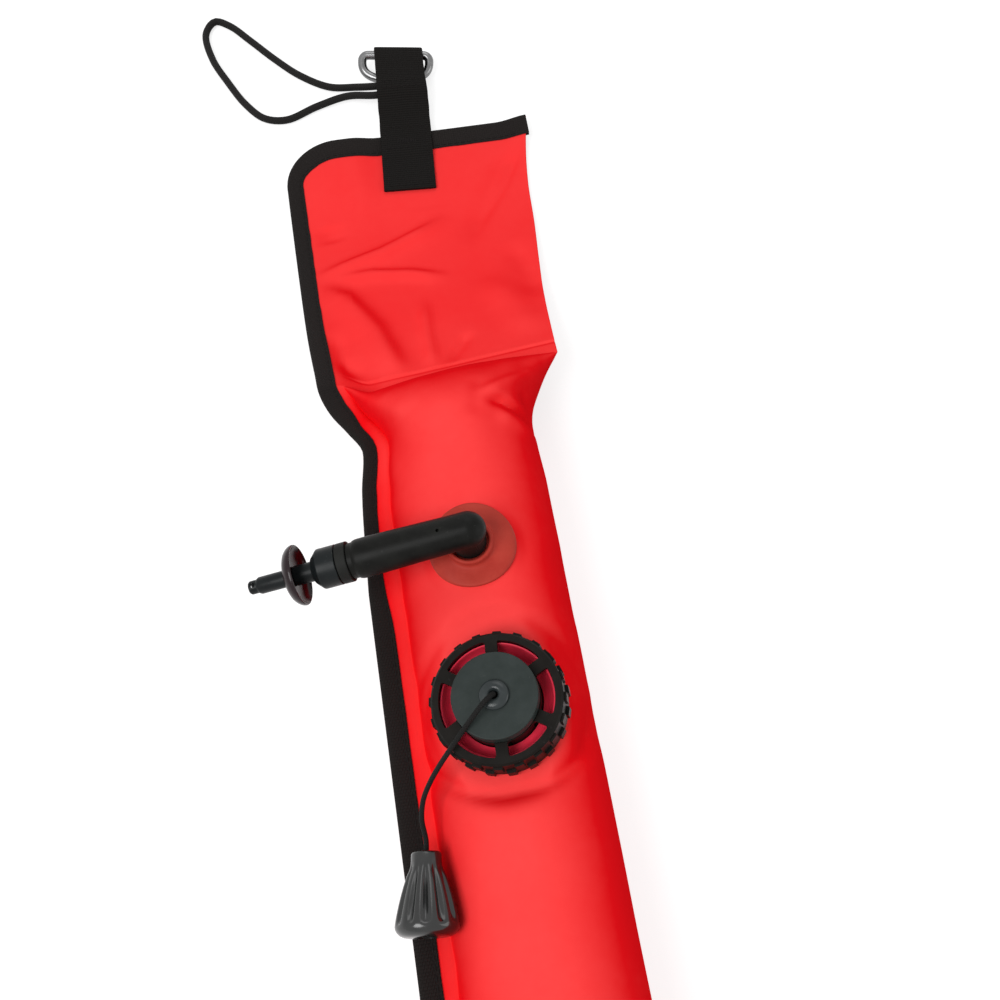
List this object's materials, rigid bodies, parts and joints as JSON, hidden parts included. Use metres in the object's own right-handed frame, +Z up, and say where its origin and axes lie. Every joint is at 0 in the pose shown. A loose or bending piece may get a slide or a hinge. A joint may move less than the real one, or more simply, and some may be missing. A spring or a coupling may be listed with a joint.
{
  "type": "surface marker buoy",
  "caption": "Inflatable tube marker buoy with oral inflator, dump valve with pull cord, and a D-ring tab with a bungee loop.",
  "frame": {"origin": "centre of the buoy's box at the height of the surface it lies on, free cords left out", "axes": "+Y along the tube towards the flap and D-ring, +Z up through the valves, seam and inflator towards -X"},
  "size_m": [0.1575, 1.0382, 0.0851],
  "materials": {
    "red_fabric": "smooth coated fabric",
    "black_tape": "woven binding tape",
    "black_webbing": "ribbed webbing",
    "black_cord": "braided cord",
    "black_plastic": "satin moulded",
    "grey_plastic": "satin moulded",
    "black_rubber": "plain",
    "gloss_rubber": "glossy",
    "salmon_rubber": "dull translucent",
    "crimson_rubber": "plain moulded",
    "steel": "polished",
    "spring_steel": "drawn wire"
  },
  "bodies": {
    "root": {"bladder": "red_fabric", "edge_binding": "black_tape", "webbing_tab": "black_webbing", "bungee_loop": "black_cord", "inflator_patch": "salmon_rubber", "inflator_elbow": "black_plastic", "inflator_lock_washer": "black_plastic", "inflator_end_cap": "black_plastic", "inflator_spring": "spring_steel", "opv_base": "black_plastic", "opv_clamp_ring": "crimson_rubber", "opv_gasket": "black_rubber", "opv_cap": "black_plastic", "opv_hub_disc": "grey_plastic", "opv_cord_guide": "grey_plastic", "opv_spring": "spring_steel"},
    "d_ring": {"d_ring": "steel"},
    "inflator_valve": {"inflator_stem": "black_plastic", "inflator_press_disc": "black_plastic", "inflator_piston": "black_plastic", "inflator_seal": "black_rubber"},
    "dump_valve": {"opv_poppet": "black_plastic", "opv_poppet_seal": "black_rubber", "pull_cord_knot": "black_cord", "pull_cord": "black_cord", "pull_knob": "gloss_rubber", "knob_cord_knot": "black_cord"}
  },
  "joints": [
    {"name": "d_ring_swing", "type": "hinge", "parent": "root", "child": "d_ring", "pos_m": [0.01388, 0.49342, 0.008], "axis": [0.9848, -0.1736, 0], "range_deg": [0, 285]},
    {"name": "inflator_press", "type": "slide", "parent": "root", "child": "inflator_valve", "axis": [0.9769, 0.0324, 0.2113], "range_m": [0, 0.004], "stiffness_N_per_m": 500, "springref_m": -0.002, "deforming": ["inflator_spring"]},
    {"name": "opv_lift", "type": "slide", "parent": "root", "child": "dump_valve", "axis": [-0.1564, 0, 0.9877], "range_m": [0, 0.003], "stiffness_N_per_m": 500, "springref_m": -0.002, "deforming": ["opv_spring"]}
  ]
}
